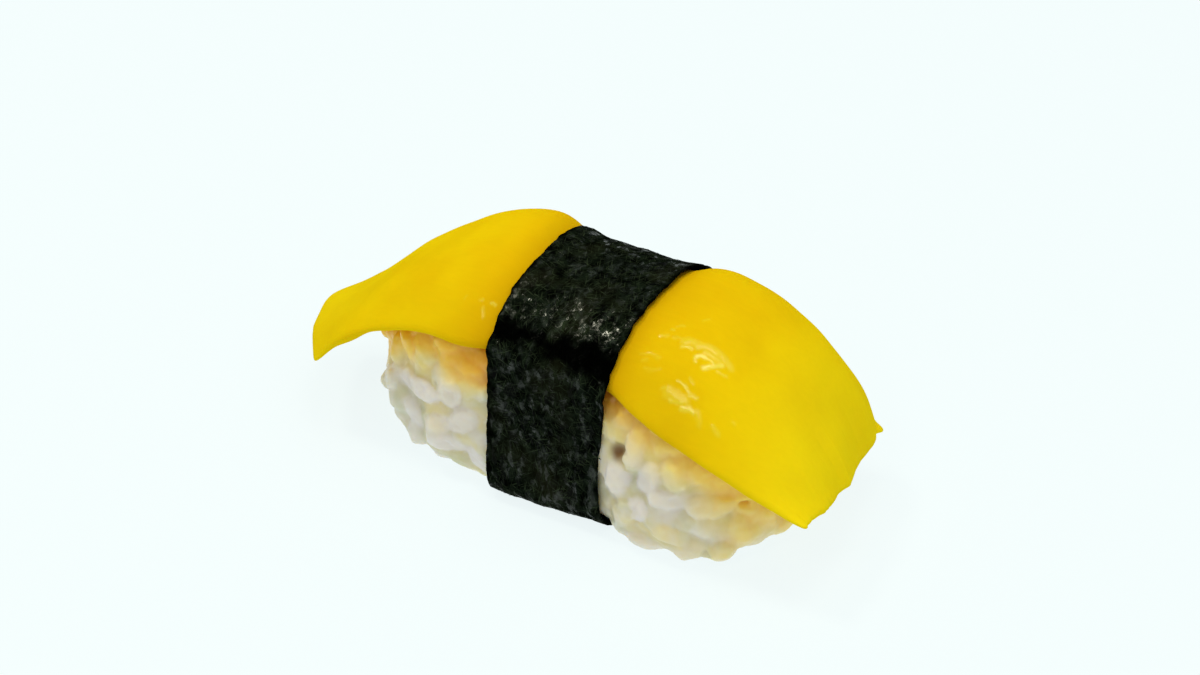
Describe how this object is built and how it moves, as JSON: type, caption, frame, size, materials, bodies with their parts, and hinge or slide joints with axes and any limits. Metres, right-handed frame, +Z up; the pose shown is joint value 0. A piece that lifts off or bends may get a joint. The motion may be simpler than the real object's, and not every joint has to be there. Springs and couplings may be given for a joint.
{
  "type": "nigiri sushi",
  "caption": "Hand-pressed loaf of rice under an arched yellow slice, held by a band of nori round its middle.",
  "frame": {"origin": "on the surface it stands on, under the middle of its box", "axes": "+X along the loaf to the slice's squarer end, -Y the side the picture shows, +Z up"},
  "size_m": [0.0752, 0.029, 0.0285],
  "materials": {
    "rice": "moist steamed rice, translucent pearly grains",
    "yellow_slice": "wet, waxy, slightly translucent yellow flesh",
    "nori": "toasted seaweed sheet, fibrous, half gloss"
  },
  "bodies": {
    "root": {"rice": "rice", "yellow_slice": "yellow_slice", "nori_band": "nori"}
  },
  "joints": []
}
